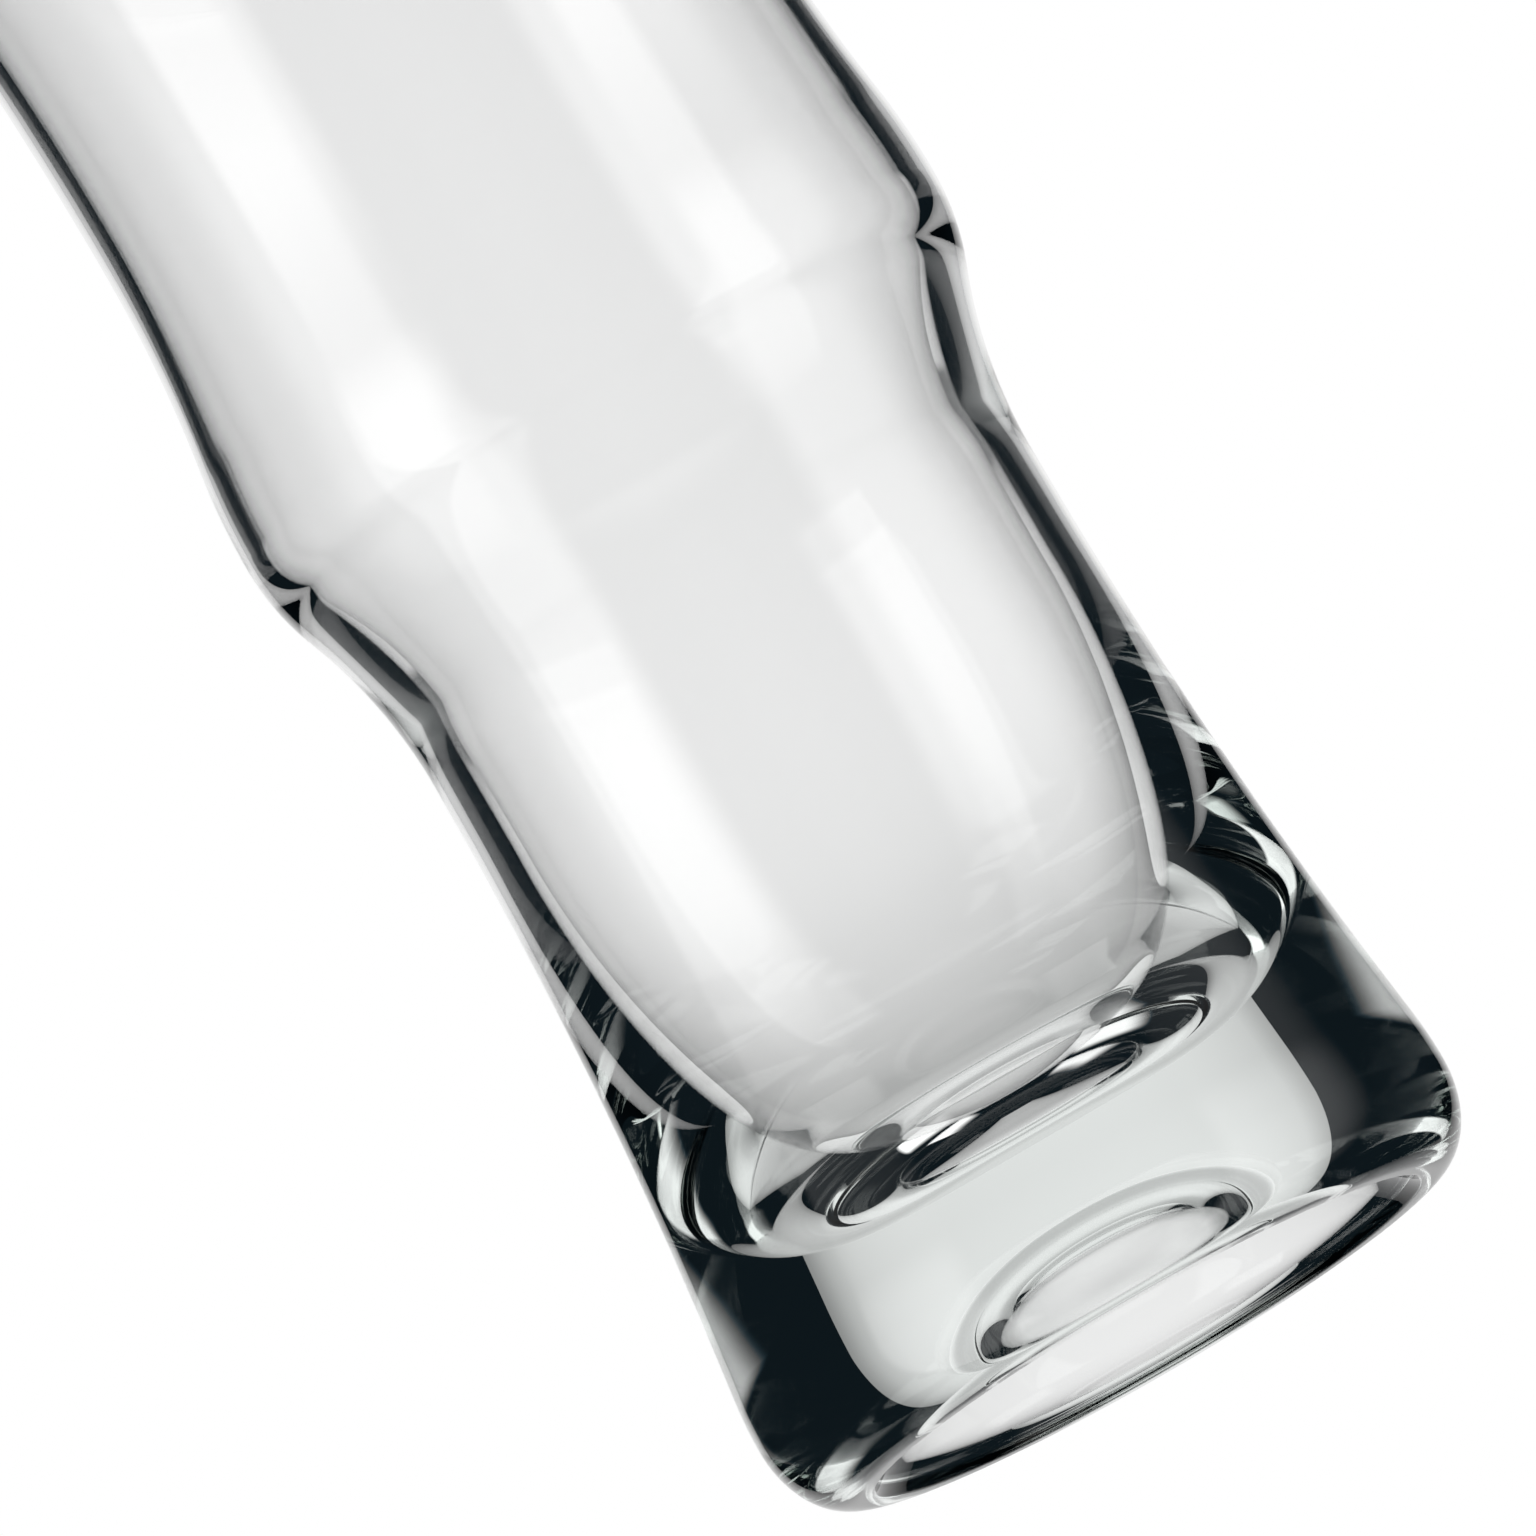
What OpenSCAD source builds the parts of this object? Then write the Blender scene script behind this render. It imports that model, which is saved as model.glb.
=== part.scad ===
// Tall mixing glass of clear glass: a heavy solid foot, a slim waist, a soft belly
// half way up and an upper wall that flares a little to a fire-polished rim.
// The whole glass is one piece, turned about its own axis. It stands on the ring
// round its hollowed underside, with the origin at the middle of that ring.
// Millimetres, +Z up.

/* [Foot] */
// Radius of the foot where it is widest
foot_r = 37.6; // [36:0.1:42]
// Height above the table at which the foot is widest
foot_h = 9; // [7:0.5:14]
// Outer radius of the flat ring on which the glass stands
ring_r = 31.5; // [27:0.5:33]
// Width of that ring
ring_w = 1.5; // [1:0.25:4]
// Height up to which that ring's inner edge is rounded
edge_h = 0.2; // [0.1:0.05:0.5]
// Radius of the curve that leads the foot's side inwards, above its widest point
foot_turn_r = 40; // [20:1:90]

/* [Waist] */
// Radius of the glass where the waist is slimmest
waist_r = 32.8; // [31:0.1:35]
// Height of the slimmest point
waist_h = 80; // [74:1:84]
// Thickness of the wall at the waist
waist_wall = 3.5; // [2.5:0.1:5]

/* [Belly] */
// Radius of the glass at its belly, the widest point
belly_r = 38; // [36.5:0.1:42]
// Height of the belly
belly_h = 107.5; // [100:0.5:114]
// Radius of the outward curve just below the belly
belly_low_r = 25; // [15:1:35]
// Radius of the outward curve just above the belly
belly_high_r = 70; // [30:1:100]
// Thickness of the wall at the belly
belly_wall = 2.7; // [2:0.1:5]

/* [Neck] */
// Radius of the glass at the neck, the slimmest point above the belly
neck_r = 35.7; // [34.5:0.1:36.2]
// Height of the neck
neck_h = 138.5; // [132:0.5:146]
// Thickness of the wall at the neck
neck_wall = 2.2; // [1.8:0.1:4]

/* [Rim] */
// Radius of the glass at its rim
rim_r = 37.8; // [36.6:0.1:40]
// Height of the whole glass
rim_h = 180; // [165:1:195]
// Thickness of the rounded rim
rim_wall = 2.2; // [1.6:0.1:3.4]

/* [Cavity] */
// Height at which the cavity is slimmest
cavity_waist_h = 85; // [80:1:90]
// Radius of the cavity's own outward curve just below the belly
cavity_turn_r = 12; // [8:1:20]
// Height of the cavity's floor above the table
floor_h = 18.5; // [16:0.5:24]
// Height of the bowl, in which the cavity's wall curves in to its floor
bowl_h = 50; // [25:1:54]
// Width over which the wall curves in, measured from the wall towards the axis
bowl_w = 24; // [12:0.5:28]
// Fullness of the bowl's curve towards the axis: 2 is an ellipse's, more is squarer
bowl_fullness = 3; // [2:0.1:4]
// Fullness of the same curve towards the wall
bowl_wall_fullness = 1.9; // [1.5:0.1:3]

/* [Underside] */
// Depth of the hollow under the foot, at its middle
hollow_h = 12; // [3:0.5:13]
// Fullness of the hollow: 2 is a parabola, more has a flatter top and steeper sides
hollow_fullness = 2.9; // [2:0.1:4]

/* [Hidden] */

turn_step = 3;                   // degrees from one point of an arc to the next
lathe_faces = 128;               // facets of the drawn glass, all the way round
bowl_points = 24;
underside_points = 24;
edge_points = 5;
rim_round = rim_wall / 2;
wall_top = rim_h - rim_round;    // where the rim's rounding begins
hollow_r = ring_r - ring_w;      // edge of the hollow in the underside
bore_waist_r = waist_r - waist_wall;
bore_belly_r = belly_r - belly_wall;
bore_neck_r = neck_r - neck_wall;
bore_rim_r = rim_r - rim_wall;

// An elliptic arc from angle a to angle b, about a centre [r, z]
function arc(centre, rx, rz, a, b) =
    let (n = ceil(abs(b - a) / turn_step))
    [for (i = [0 : n]) let (t = a + (b - a) * i / n)
        centre + [rx * cos(t), rz * sin(t)]];

// The angle at which two arcs meet that lead from p to q, both upright at their ends
function lean(p, q) = 2 * atan(abs(q.x - p.x) / (q.y - p.y));

// Two arcs that lead smoothly up from p to q. The first has the radius low_r,
// bends towards q, and passes into the second where both lean alike.
function s_curve(p, q, low_r) =
    let (side = sign(q.x - p.x), t = lean(p, q), high_r = (q.y - p.y) / sin(t) - low_r,
         n = max(2, ceil(t / turn_step)))
    concat(
        [for (i = [0 : n]) let (u = t * i / n)
            p + [side * low_r * (1 - cos(u)), low_r * sin(u)]],
        [for (i = [n - 1 : -1 : 0]) let (u = t * i / n)
            q - [side * high_r * (1 - cos(u)), high_r * sin(u)]]);

// The radius that an s_curve's upper arc has when its lower one has low_r, or the other way
function other_r(p, q, one_r) = (q.y - p.y) / sin(lean(p, q)) - one_r;

// One arc that starts upright at p and flares to q
function flare(p, q) =
    let (w = q.x - p.x, h = q.y - p.y, r = (w * w + h * h) / (2 * w), t = asin(h / r),
         n = max(3, ceil(t / turn_step)))
    [for (i = [0 : n]) let (u = t * i / n) p + [r * (1 - cos(u)), r * sin(u)]];

function turned_back(points) = [for (i = [len(points) - 1 : -1 : 0]) points[i]];

// The outside, from the resting ring up to the rim
foot = [foot_r, foot_h];
waist = [waist_r, waist_h];
belly = [belly_r, belly_h];
neck = [neck_r, neck_h];
function heel() = arc([ring_r, foot_h], foot_r - ring_r, foot_h, -90, 0);
function outside() = concat(
    heel(),
    s_curve(foot, waist, foot_turn_r),
    s_curve(waist, belly, other_r(waist, belly, belly_low_r)),
    s_curve(belly, neck, belly_high_r),
    flare(neck, [rim_r, wall_top]));

// The rounded edge of the rim, from the outside to the inside
function rim() = arc([rim_r - rim_round, wall_top], rim_round, rim_round, 0, 180);

// The bowl at the foot of the cavity, from the edge of its flat floor up to the wall
function bowl() =
    [for (i = [0 : bowl_points]) let (t = 90 * (1 - i / bowl_points))
        [bore_waist_r - bowl_w + bowl_w * pow(cos(t), 2 / bowl_fullness),
         floor_h + bowl_h * (1 - pow(sin(t), 2 / bowl_wall_fullness))]];

// The cavity, from the middle of its floor up to the rim
bore_waist = [bore_waist_r, cavity_waist_h];
bore_belly = [bore_belly_r, belly_h];
bore_neck = [bore_neck_r, neck_h];
function cavity() = concat(
    [[0, floor_h]],
    bowl(),
    s_curve(bore_waist, bore_belly, other_r(bore_waist, bore_belly, cavity_turn_r)),
    s_curve(bore_belly, bore_neck, belly_high_r),
    flare(bore_neck, [bore_rim_r, wall_top]));

// The hollow underside, from its middle out to the resting ring, whose inner edge is
// an arc that takes over at the height edge_h
edge_u = pow(1 - edge_h / hollow_h, 1 / hollow_fullness);
edge_slope = atan(hollow_h * hollow_fullness * pow(edge_u, hollow_fullness - 1) / hollow_r);
edge_round = edge_h / (1 - cos(edge_slope));
function underside() = concat(
    [for (i = [0 : underside_points]) let (u = edge_u * i / underside_points)
        [hollow_r * u, hollow_h * (1 - pow(u, hollow_fullness))]],
    [for (i = [1 : edge_points]) let (t = edge_slope * (1 - i / edge_points))
        [hollow_r * edge_u + edge_round * (sin(edge_slope) - sin(t)),
         edge_round * (1 - cos(t))]]);

// The glass wall and foot, cut along the axis
module half_section() {
    polygon(concat(underside(), outside(), rim(), turned_back(cavity())));
}

module glass_body() {
    color([0.86, 0.9, 0.91, 0.45])
        rotate_extrude($fn = lathe_faces) half_section();
}

glass_body();
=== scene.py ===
"""A tall waisted glass with a heavy foot, in a white studio, seen from a little below."""

import math

import bpy
from mathutils import Matrix, Vector


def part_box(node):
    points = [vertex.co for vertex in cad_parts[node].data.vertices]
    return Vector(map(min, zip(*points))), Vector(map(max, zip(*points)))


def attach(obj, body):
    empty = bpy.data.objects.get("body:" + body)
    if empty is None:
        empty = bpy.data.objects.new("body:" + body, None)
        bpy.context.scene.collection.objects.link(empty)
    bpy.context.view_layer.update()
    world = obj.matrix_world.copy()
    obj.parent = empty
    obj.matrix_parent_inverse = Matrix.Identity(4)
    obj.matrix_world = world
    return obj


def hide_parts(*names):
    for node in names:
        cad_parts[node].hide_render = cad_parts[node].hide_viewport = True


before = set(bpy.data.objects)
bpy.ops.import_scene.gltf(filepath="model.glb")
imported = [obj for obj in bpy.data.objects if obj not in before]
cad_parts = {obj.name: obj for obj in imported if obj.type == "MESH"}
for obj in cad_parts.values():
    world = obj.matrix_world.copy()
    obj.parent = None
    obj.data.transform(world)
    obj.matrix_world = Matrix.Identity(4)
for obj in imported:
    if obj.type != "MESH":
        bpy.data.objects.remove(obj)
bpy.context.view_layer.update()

MM = 0.001

# ---------------------------------------------------------------- the glass's profile
# Radii and heights in millimetres, as in the model of the part.

high_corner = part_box("glass_body")[1]
RIM_H = high_corner[2] / MM               # the whole height
BELLY_R = high_corner[0] / MM             # the belly is the widest point

FOOT_R, FOOT_H = 37.6, 9.0                # widest point of the foot
RING_R, RING_W = 31.5, 1.5                # flat ring on which the glass stands
EDGE_H = 0.2                              # height of the rounding at that ring's inner edge
FOOT_TURN_R = 40.0                        # inward curve of the foot's side
WAIST_R, WAIST_H, WAIST_WALL = 32.8, 80.0, 3.5
BELLY_H, BELLY_WALL = 107.5, 2.7
BELLY_LOW_R, BELLY_HIGH_R = 25.0, 70.0    # outward curves below and above the belly
NECK_R, NECK_H, NECK_WALL = 35.7, 138.5, 2.2
RIM_R, RIM_WALL = 37.8, 2.2
CAVITY_WAIST_H, CAVITY_TURN_R = 85.0, 12.0  # its slimmest point, and its turn to the belly
FLOOR_H = 18.5                            # the cavity's floor
BOWL_H, BOWL_W = 50.0, 24.0               # the curve that leads from the wall to the floor
BOWL_FULLNESS, BOWL_WALL_FULLNESS = 3.0, 1.9  # towards the axis and towards the wall
HOLLOW_H, HOLLOW_FULLNESS = 12.0, 2.9     # the hollow under the foot

ROUND_STEPS = 240                         # quads round the axis
TURN_STEP = math.radians(1.0)             # turn of the wall from point to point
HEEL_POINTS, RIM_POINTS = 45, 20
BOWL_POINTS, HOLLOW_POINTS, EDGE_POINTS = 72, 72, 8
FLAT_POINTS = 6                           # across the cavity's floor, and up its plain side


def arc(centre, rx, rz, start, end, steps):
    """Points of an elliptic arc from one angle to another, in degrees."""
    turns = [math.radians(start + (end - start) * i / steps) for i in range(steps + 1)]
    return [(centre[0] + rx * math.cos(t), centre[1] + rz * math.sin(t)) for t in turns]


def lean(p, q):
    """How far the wall leans where the two arcs of an s_curve meet."""
    return 2 * math.atan(abs(q[0] - p[0]) / (q[1] - p[1]))


def s_curve(p, q, low_r):
    """Two arcs that lead smoothly up from p to q and are upright at both."""
    side = 1 if q[0] > p[0] else -1
    turn = lean(p, q)
    high_r = (q[1] - p[1]) / math.sin(turn) - low_r
    steps = max(8, math.ceil(turn / TURN_STEP))
    turns = [turn * i / steps for i in range(steps + 1)]
    low = [(p[0] + side * low_r * (1 - math.cos(t)), p[1] + low_r * math.sin(t)) for t in turns]
    high = [(q[0] - side * high_r * (1 - math.cos(t)), q[1] - high_r * math.sin(t))
            for t in reversed(turns[:-1])]
    return low + high


def other_r(p, q, one_r):
    """The radius of an s_curve's other arc."""
    return (q[1] - p[1]) / math.sin(lean(p, q)) - one_r


def flare(p, q):
    """One arc that starts upright at p and flares to q."""
    w, h = q[0] - p[0], q[1] - p[1]
    r = (w * w + h * h) / (2 * w)
    turn = math.asin(h / r)
    steps = max(12, math.ceil(turn / TURN_STEP))
    return [(p[0] + r * (1 - math.cos(turn * i / steps)), p[1] + r * math.sin(turn * i / steps))
            for i in range(steps + 1)]


def outside():
    """From the resting ring up to the rim."""
    foot, waist = (FOOT_R, FOOT_H), (WAIST_R, WAIST_H)
    belly, neck = (BELLY_R, BELLY_H), (NECK_R, NECK_H)
    heel = arc((RING_R, FOOT_H), FOOT_R - RING_R, FOOT_H, -90, 0, HEEL_POINTS)
    return (heel
            + s_curve(foot, waist, FOOT_TURN_R)[1:]
            + s_curve(waist, belly, other_r(waist, belly, BELLY_LOW_R))[1:]
            + s_curve(belly, neck, BELLY_HIGH_R)[1:]
            + flare(neck, (RIM_R, RIM_H - RIM_WALL / 2))[1:])


def rim():
    """The rounded edge of the rim, from outside to inside."""
    half = RIM_WALL / 2
    return arc((RIM_R - half, RIM_H - half), half, half, 0, 180, RIM_POINTS)


def cavity():
    """From the middle of the cavity's floor up to the rim."""
    waist = (WAIST_R - WAIST_WALL, CAVITY_WAIST_H)
    belly = (BELLY_R - BELLY_WALL, BELLY_H)
    neck = (NECK_R - NECK_WALL, NECK_H)
    bowl_foot = waist[0] - BOWL_W
    floor = [(bowl_foot * i / FLAT_POINTS, FLOOR_H) for i in range(FLAT_POINTS)]
    bowl = []
    for i in range(BOWL_POINTS + 1):
        t = math.pi / 2 * (1 - i / BOWL_POINTS)
        bowl.append((bowl_foot + BOWL_W * max(0.0, math.cos(t)) ** (2 / BOWL_FULLNESS),
                     FLOOR_H + BOWL_H * (1 - math.sin(t) ** (2 / BOWL_WALL_FULLNESS))))
    side_h = CAVITY_WAIST_H - FLOOR_H - BOWL_H
    side = [(waist[0], FLOOR_H + BOWL_H + side_h * i / FLAT_POINTS)
            for i in range(1, FLAT_POINTS)]
    return (floor + bowl + side
            + s_curve(waist, belly, other_r(waist, belly, CAVITY_TURN_R))
            + s_curve(belly, neck, BELLY_HIGH_R)[1:]
            + flare(neck, (RIM_R - RIM_WALL, RIM_H - RIM_WALL / 2))[1:])


def underside():
    """The hollow, from its middle out to the resting ring, whose inner edge is rounded."""
    hollow_r = RING_R - RING_W
    edge_u = (1 - EDGE_H / HOLLOW_H) ** (1 / HOLLOW_FULLNESS)
    slope = math.atan(HOLLOW_H * HOLLOW_FULLNESS * edge_u ** (HOLLOW_FULLNESS - 1) / hollow_r)
    rounding = EDGE_H / (1 - math.cos(slope))
    shares = [edge_u * i / HOLLOW_POINTS for i in range(HOLLOW_POINTS + 1)]
    turns = [slope * (1 - i / EDGE_POINTS) for i in range(1, EDGE_POINTS + 1)]
    return ([(hollow_r * u, HOLLOW_H * (1 - u ** HOLLOW_FULLNESS)) for u in shares]
            + [(hollow_r * edge_u + rounding * (math.sin(slope) - math.sin(t)),
                rounding * (1 - math.cos(t))) for t in turns])


def profile():
    """The whole outline of the wall, from the hollow's middle round to the cavity's floor."""
    return underside() + outside() + rim()[1:] + list(reversed(cavity()))[1:]


# ---------------------------------------------------------------- the glass

WAVE = 0.035                              # millimetres that a blown wall strays from round
# Waves round the axis, share of the above, millimetres of height to a radian, start.
WAVES = [(2, 1.0, 31, 0.0), (3, 0.6, -19, 1.3), (5, 0.4, 11, 0.7)]
WAVE_FADE_R, WAVE_FADE_H = 25, 20         # they fade towards the floor's middle and the rim


def wave(angle, r, z):
    """How far the cavity's wall strays from true, which bends what is seen through it."""
    stray = WAVE * sum(share * math.sin(lobes * angle + z / pitch + start)
                       for lobes, share, pitch, start in WAVES)
    return stray * min(1.0, r / WAVE_FADE_R) * min(1.0, (RIM_H - z) / WAVE_FADE_H)


def revolve(points, name):
    """A closed, smooth mesh of revolution; the first and last point lie on the axis."""
    ring_points = points[1:-1]
    rim_end = len(underside()) + len(outside()) + len(rim()) - 2
    verts, faces = [], []
    for number, (r, z) in enumerate(ring_points):
        for k in range(ROUND_STEPS):
            angle = 2 * math.pi * k / ROUND_STEPS
            reach = r + wave(angle, r, z) if number > rim_end else r
            verts.append((reach * MM * math.cos(angle), reach * MM * math.sin(angle), z * MM))
    for j in range(len(ring_points) - 1):
        for k in range(ROUND_STEPS):
            a, b = j * ROUND_STEPS + k, j * ROUND_STEPS + (k + 1) % ROUND_STEPS
            faces.append((a, b, b + ROUND_STEPS, a + ROUND_STEPS))
    last = (len(ring_points) - 1) * ROUND_STEPS
    verts += [(0, 0, points[0][1] * MM), (0, 0, points[-1][1] * MM)]
    low, high = len(verts) - 2, len(verts) - 1
    for k in range(ROUND_STEPS):
        faces.append((low, (k + 1) % ROUND_STEPS, k))
        faces.append((high, last + k, last + (k + 1) % ROUND_STEPS))
    mesh = bpy.data.meshes.new(name)
    mesh.from_pydata(verts, [], faces)
    mesh.validate()
    mesh.polygons.foreach_set("use_smooth", [True] * len(mesh.polygons))
    mesh.update()
    piece = bpy.data.objects.new(name, mesh)
    bpy.context.scene.collection.objects.link(piece)
    return piece


def node(tree, kind, **sockets):
    """A shader node with its input sockets set, by name with _ for a space."""
    new = tree.nodes.new(kind)
    for name, value in sockets.items():
        new.inputs[name.replace("_", " ")].default_value = value
    return new


def empty_tree(owner):
    """The node tree of a material or a world, with nothing in it."""
    owner.use_nodes = True
    owner.node_tree.nodes.clear()
    return owner.node_tree


def clear_glass():
    """Clear soda-lime glass, faintly wavy as a blown wall is, with a trace of green."""
    material = bpy.data.materials.new("clear_glass")
    tree = empty_tree(material)
    out = node(tree, "ShaderNodeOutputMaterial")
    glass = node(tree, "ShaderNodeBsdfGlass", Color=(1, 1, 1, 1), Roughness=0.0, IOR=1.52)
    absorb = node(tree, "ShaderNodeVolumeAbsorption", Color=(0.86, 0.90, 0.88, 1), Density=12.0)
    place = node(tree, "ShaderNodeTexCoord")
    waves = node(tree, "ShaderNodeTexNoise", Scale=45.0, Detail=2.0, Roughness=0.45)
    bump = node(tree, "ShaderNodeBump", Strength=0.25, Distance=0.00005)
    tree.links.new(place.outputs["Object"], waves.inputs["Vector"])
    tree.links.new(waves.outputs["Fac"], bump.inputs["Height"])
    tree.links.new(bump.outputs["Normal"], glass.inputs["Normal"])
    tree.links.new(glass.outputs["BSDF"], out.inputs["Surface"])
    tree.links.new(absorb.outputs["Volume"], out.inputs["Volume"])
    return material


glass = revolve(profile(), "waisted_glass")
glass.data.materials.append(clear_glass())
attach(glass, "root")
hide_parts("glass_body")

# ---------------------------------------------------------------- studio

MAIN_AZIMUTH = -67.5                      # where the photograph's camera stands, in degrees

# The white card behind the glass, as the main camera sees it, in metres. It is so near that
# the foot and the walls show different parts of it.
CARD_AWAY = 0.295
CARD_HALF_WIDTH = 0.155
CARD_LOW, CARD_HIGH = -1.5, 2.0
# How brightly it is lit: places and strengths up it, and places and shares of that across.
CARD_BY_HEIGHT = [(-0.30, 0.45), (-0.10, 0.65), (0.0, 0.87), (0.05, 0.95), (0.12, 0.96),
                  (0.25, 0.94), (0.35, 0.65), (0.60, 0.50)]
CARD_ACROSS = [(-0.155, 0.45), (-0.13, 0.80), (-0.06, 1.02), (0.0, 1.0), (0.07, 0.97),
               (0.11, 0.85), (0.135, 0.60), (0.155, 0.30)]

# What else lights the glass, far away. Degrees to the left of the way the camera looks
# where a light starts and ends, each with half the width of its soft edge, then its lowest
# and highest elevation, and its strength.
FAR_LIGHTS = [
    (106, 2, 142, 5, -60, 17, 1.4),               # tall strip lamps beside the camera
    (-132, 4, -85, 12, -60, 17, 1.15),
    (-180, 1, 180, 1, 65, 91, 0.9),               # the ceiling
]
ELEVATION_EDGE = 7                        # half the width of the soft edges up and down
ROOM, TINT_END = 0.012, 0.12              # the dark room between the lights, and its tint's end
ROOM_TINT = (0.40, 0.75, 1.0, 1)
WHITE = (1, 1, 1, 1)
DOME = 1.0                                # the even light that falls on the table
# The white background, as it shows straight through the glass from other sides, and the
# elevation in degrees below which it does: through the solid foot, and through both walls
# of the cup.
BEHIND = 0.95
BEHIND_FOOT, BEHIND_CUP, BEHIND_EDGE = -5.0, 8.0, 1.5
# Sockets of a Mix node that mixes colours
MIX_FACTOR, MIX_A, MIX_B, MIX_RESULT = 0, 6, 7, 2


def math_node(tree, operation, *inputs):
    """A Math node; each input is a number or another node's output."""
    new = tree.nodes.new("ShaderNodeMath")
    new.operation = operation
    for socket, value in zip(new.inputs, inputs):
        if isinstance(value, (int, float)):
            socket.default_value = value
        else:
            tree.links.new(value, socket)
    return new.outputs[0]


def step_node(tree, value, start, end):
    """A smooth step from 0 at start to 1 at end."""
    new = tree.nodes.new("ShaderNodeMapRange")
    new.interpolation_type = "SMOOTHSTEP"
    tree.links.new(value, new.inputs["Value"])
    new.inputs["From Min"].default_value = start
    new.inputs["From Max"].default_value = end
    return new.outputs["Result"]


def ramp_node(tree, value, stops):
    """A value that runs smoothly through stops, which are pairs of a place and a value."""
    first, last = stops[0][0], stops[-1][0]
    top = max(level for place, level in stops)
    share = tree.nodes.new("ShaderNodeMapRange")
    tree.links.new(value, share.inputs["Value"])
    share.inputs["From Min"].default_value = first
    share.inputs["From Max"].default_value = last
    ramp = tree.nodes.new("ShaderNodeValToRGB")
    ramp.color_ramp.interpolation = "B_SPLINE"
    marks = ramp.color_ramp.elements
    for place, level in stops[1:-1]:
        marks.new((place - first) / (last - first))
    for mark, (place, level) in zip(marks, stops):
        mark.color = (level / top, level / top, level / top, 1)
    tree.links.new(share.outputs["Result"], ramp.inputs["Fac"])
    return math_node(tree, "MULTIPLY", ramp.outputs["Color"], top)


def far_light_node(tree, turned, height, far_light):
    """One far light, from the azimuth and elevation of a direction in radians."""
    start, start_edge, end, end_edge, lowest, highest = map(math.radians, far_light[:6])
    edge = math.radians(ELEVATION_EDGE)
    centre, half = (start + end) / 2, (end - start) / 2
    aside = math_node(tree, "SUBTRACT", turned, centre)
    aside = math_node(tree, "WRAP", aside, math.pi, -math.pi)
    within = math_node(tree, "MULTIPLY",
                       step_node(tree, aside, -half - start_edge, -half + start_edge),
                       step_node(tree, aside, half + end_edge, half - end_edge))
    between = math_node(tree, "MULTIPLY",
                        step_node(tree, height, lowest - edge, lowest + edge),
                        step_node(tree, height, highest + edge, highest - edge))
    window = math_node(tree, "MULTIPLY", within, between)
    return math_node(tree, "MULTIPLY", window, far_light[6])


def direction_nodes(tree):
    """A direction's turn to the left of the main camera's, and its elevation, in radians."""
    way = node(tree, "ShaderNodeTexCoord")
    split = node(tree, "ShaderNodeSeparateXYZ")
    tree.links.new(way.outputs["Generated"], split.inputs["Vector"])
    minus_x = math_node(tree, "MULTIPLY", split.outputs["X"], -1.0)
    azimuth = math_node(tree, "ARCTAN2", minus_x, split.outputs["Y"])
    turned = math_node(tree, "SUBTRACT", azimuth, math.radians(MAIN_AZIMUTH))
    return turned, math_node(tree, "ARCSINE", split.outputs["Z"])


def behind_node(tree, path, height):
    """1 where a path that was never turned back in the glass leaves for the background."""
    straight = math_node(tree, "LESS_THAN", path.outputs["Glossy Depth"], 0.5)
    both_walls = math_node(tree, "GREATER_THAN", path.outputs["Transmission Depth"], 2.5)
    raised = math_node(tree, "MULTIPLY", both_walls, math.radians(BEHIND_CUP - BEHIND_FOOT))
    level = math_node(tree, "ADD", raised, math.radians(BEHIND_FOOT))
    above = math_node(tree, "SUBTRACT", height, level)
    edge = math.radians(BEHIND_EDGE)
    return math_node(tree, "MULTIPLY", straight, step_node(tree, above, edge, -edge))


def build_world():
    """White to the camera, an even dome to the table, lights in a dark room to the glass."""
    world = bpy.data.worlds.new("studio")
    bpy.context.scene.world = world
    tree = empty_tree(world)
    turned, height = direction_nodes(tree)
    light = ROOM
    for far_light in FAR_LIGHTS:
        light = math_node(tree, "ADD", light, far_light_node(tree, turned, height, far_light))
    path = node(tree, "ShaderNodeLightPath")
    scattered = math_node(tree, "GREATER_THAN", path.outputs["Diffuse Depth"], 0.5)
    for fraction, strength in ((behind_node(tree, path, height), BEHIND), (scattered, DOME),
                               (path.outputs["Is Camera Ray"], 1.0)):
        mix = node(tree, "ShaderNodeMix", B=strength)
        tree.links.new(fraction, mix.inputs["Factor"])
        tree.links.new(light, mix.inputs["A"])
        light = mix.outputs["Result"]
    tint = tree.nodes.new("ShaderNodeMix")
    tint.data_type = "RGBA"
    tree.links.new(step_node(tree, light, ROOM, TINT_END), tint.inputs[MIX_FACTOR])
    tint.inputs[MIX_A].default_value = ROOM_TINT
    tint.inputs[MIX_B].default_value = WHITE
    background = node(tree, "ShaderNodeBackground")
    out = node(tree, "ShaderNodeOutputWorld")
    tree.links.new(tint.outputs[MIX_RESULT], background.inputs["Color"])
    tree.links.new(light, background.inputs["Strength"])
    tree.links.new(background.outputs["Background"], out.inputs["Surface"])


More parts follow.
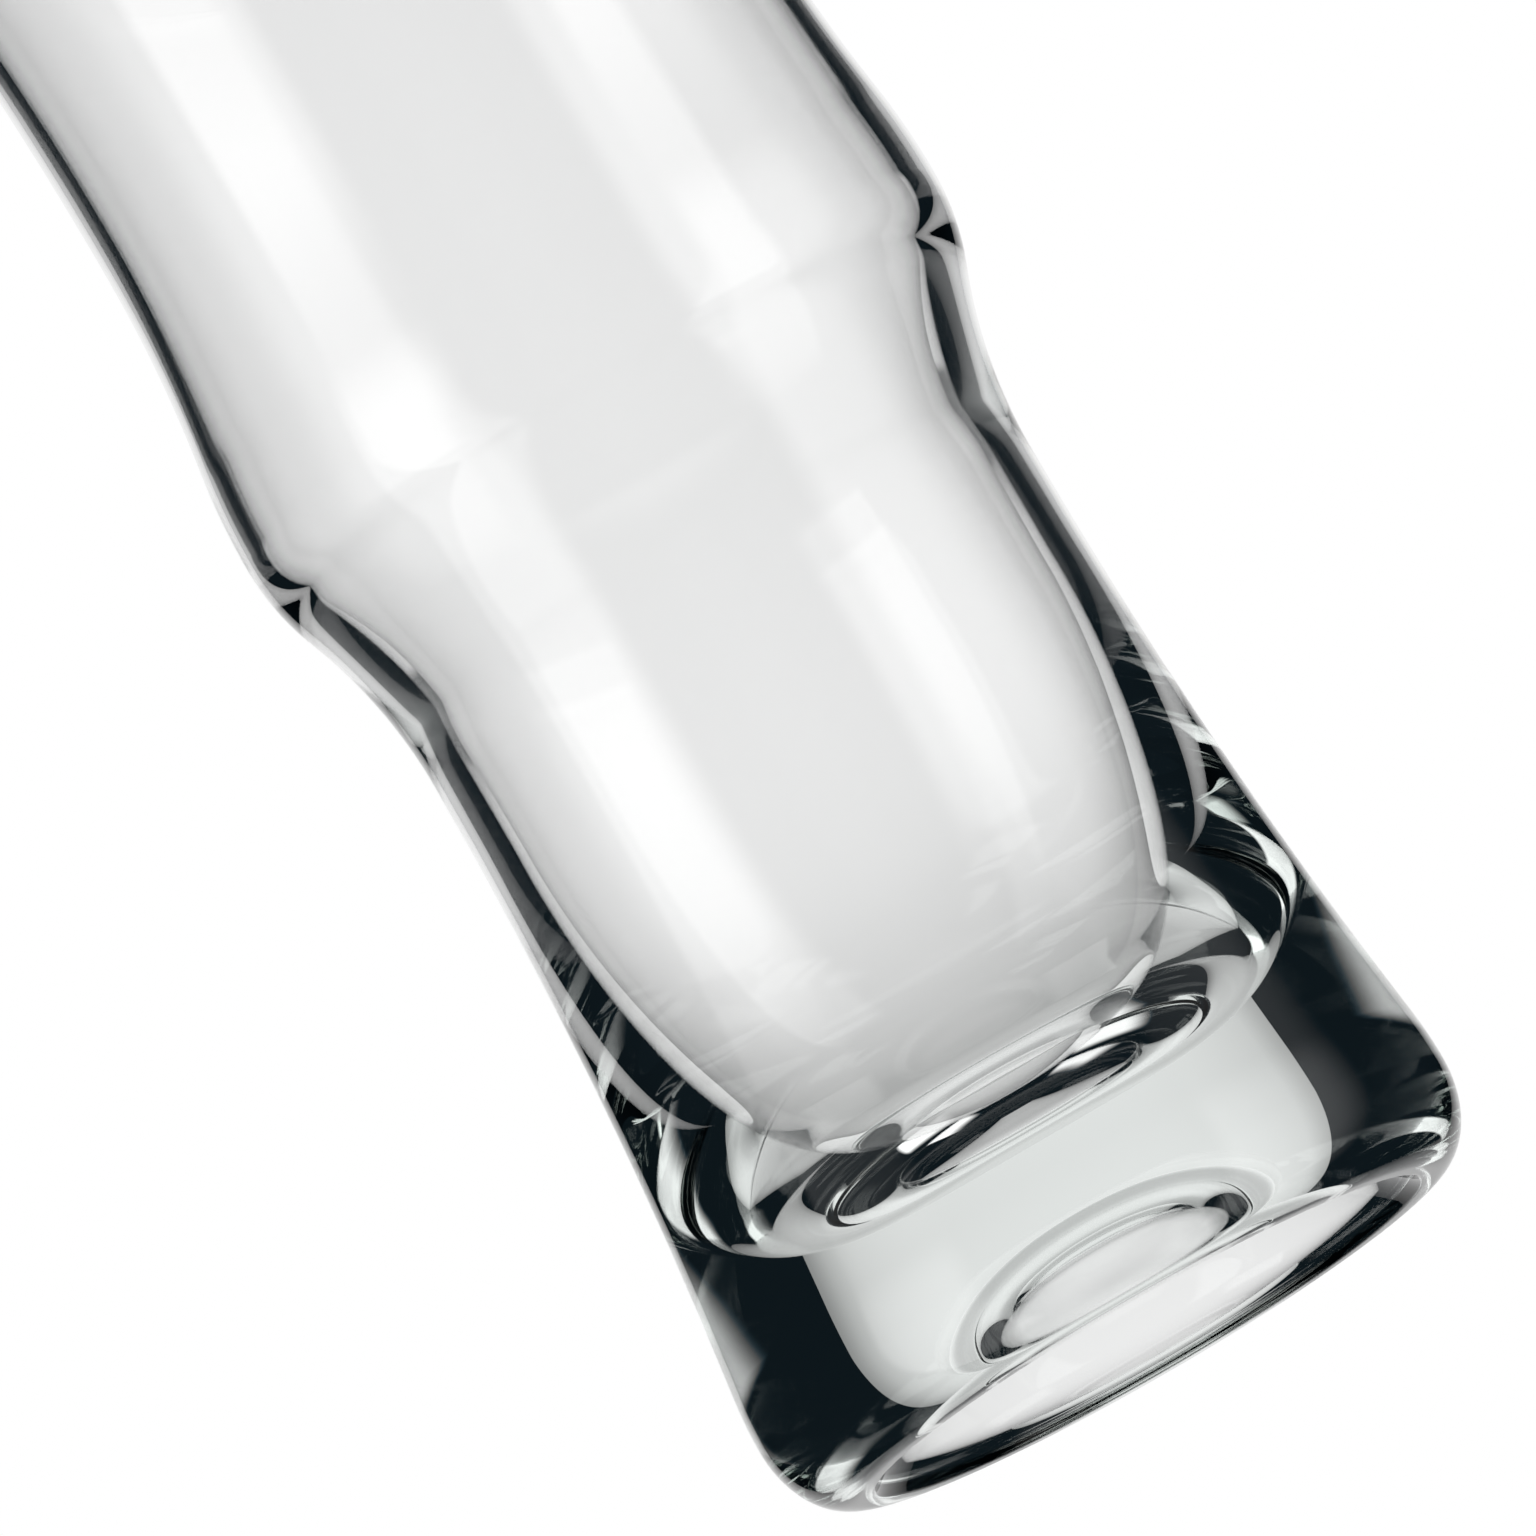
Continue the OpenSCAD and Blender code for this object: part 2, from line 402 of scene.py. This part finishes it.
def build_card():
    """The white card behind the glass, which the glass alone sees."""
    corners = [(-CARD_HALF_WIDTH, CARD_AWAY, CARD_LOW), (CARD_HALF_WIDTH, CARD_AWAY, CARD_LOW),
               (CARD_HALF_WIDTH, CARD_AWAY, CARD_HIGH), (-CARD_HALF_WIDTH, CARD_AWAY, CARD_HIGH)]
    mesh = bpy.data.meshes.new("white_card")
    mesh.from_pydata(corners, [], [(0, 1, 2, 3)])
    card = bpy.data.objects.new("white_card", mesh)
    card.rotation_euler = (0, 0, math.radians(MAIN_AZIMUTH))
    bpy.context.scene.collection.objects.link(card)
    material = bpy.data.materials.new("white_card")
    tree = empty_tree(material)
    out = node(tree, "ShaderNodeOutputMaterial")
    place = node(tree, "ShaderNodeTexCoord")
    split = node(tree, "ShaderNodeSeparateXYZ")
    tree.links.new(place.outputs["Object"], split.inputs["Vector"])
    lit = ramp_node(tree, split.outputs["Z"], CARD_BY_HEIGHT)
    share = ramp_node(tree, split.outputs["X"], CARD_ACROSS)
    light = math_node(tree, "MULTIPLY", lit, share)
    shine = node(tree, "ShaderNodeEmission", Color=WHITE)
    tree.links.new(light, shine.inputs["Strength"])
    tree.links.new(shine.outputs["Emission"], out.inputs["Surface"])
    mesh.materials.append(material)
    card.visible_camera = card.visible_diffuse = card.visible_shadow = False


FLOOR_GAP = 0.0002                        # metres below the glass
FLOOR_R, FLOOR_SIDES = 1.2, 96
FLOOR_FADE = (0.25, 0.55)                 # the table passes into the white background


def build_floor():
    """A pale table top that shows to the camera from above, and fades into white."""
    bpy.ops.mesh.primitive_circle_add(vertices=FLOOR_SIDES, radius=FLOOR_R, fill_type="NGON",
                                      location=(0, 0, -FLOOR_GAP))
    floor = bpy.context.object
    floor.name = "table_top"
    material = bpy.data.materials.new("table_top")
    tree = empty_tree(material)
    out = node(tree, "ShaderNodeOutputMaterial")
    pale = node(tree, "ShaderNodeBsdfDiffuse", Color=(0.93, 0.93, 0.93, 1))
    clear = node(tree, "ShaderNodeBsdfTransparent")
    mix = node(tree, "ShaderNodeMixShader")
    place = node(tree, "ShaderNodeTexCoord")
    length = tree.nodes.new("ShaderNodeVectorMath")
    length.operation = "LENGTH"
    tree.links.new(place.outputs["Object"], length.inputs[0])
    near = step_node(tree, length.outputs["Value"], FLOOR_FADE[1], FLOOR_FADE[0])
    path = node(tree, "ShaderNodeLightPath")
    side = node(tree, "ShaderNodeNewGeometry")
    front = math_node(tree, "SUBTRACT", 1.0, side.outputs["Backfacing"])
    seen = math_node(tree, "MULTIPLY", path.outputs["Is Camera Ray"], front)
    tree.links.new(math_node(tree, "MULTIPLY", near, seen), mix.inputs["Fac"])
    tree.links.new(clear.outputs["BSDF"], mix.inputs[1])
    tree.links.new(pale.outputs["BSDF"], mix.inputs[2])
    tree.links.new(mix.outputs["Shader"], out.inputs["Surface"])
    floor.data.materials.append(material)


build_world()
build_card()
build_floor()

# ---------------------------------------------------------------- camera

CAMERA_AWAY = 3.0
SENSOR_WIDTH = 36.0                       # millimetres
CAMERA_ELEVATION = -7.0                   # degrees, below the level of the table
CAMERA_ROLL = 30.0                        # the glass leans to the left in the picture
FRAME_WIDTH = 0.1467                      # what the picture's width takes in, at the glass
AIM_ASIDE, AIM_H = -0.0043, 0.0657        # the picture's middle, from the glass's axis


def build_camera():
    """The main camera, which looks up from below the table's level and is rolled."""
    azimuth = math.radians(MAIN_AZIMUTH)
    back = Vector((math.sin(azimuth), -math.cos(azimuth), 0))
    right = Vector((math.cos(azimuth), math.sin(azimuth), 0))
    place = back * CAMERA_AWAY
    place.z = CAMERA_AWAY * math.tan(math.radians(CAMERA_ELEVATION))
    aim = right * AIM_ASIDE + Vector((0, 0, AIM_H))
    look = (aim - place).to_track_quat("-Z", "Y").to_matrix().to_4x4()
    roll = Matrix.Rotation(math.radians(-CAMERA_ROLL), 4, "Z")
    data = bpy.data.cameras.new("camera")
    data.sensor_width = SENSOR_WIDTH
    data.lens = data.sensor_width * (aim - place).length / FRAME_WIDTH
    camera = bpy.data.objects.new("camera", data)
    camera.matrix_world = Matrix.Translation(place) @ look @ roll
    bpy.context.scene.collection.objects.link(camera)
    bpy.context.scene.camera = camera


build_camera()

scene = bpy.context.scene
scene.view_settings.view_transform = "Standard"
scene.cycles.max_bounces = 32
scene.cycles.transmission_bounces = 32
scene.cycles.glossy_bounces = 16
scene.cycles.transparent_max_bounces = 16
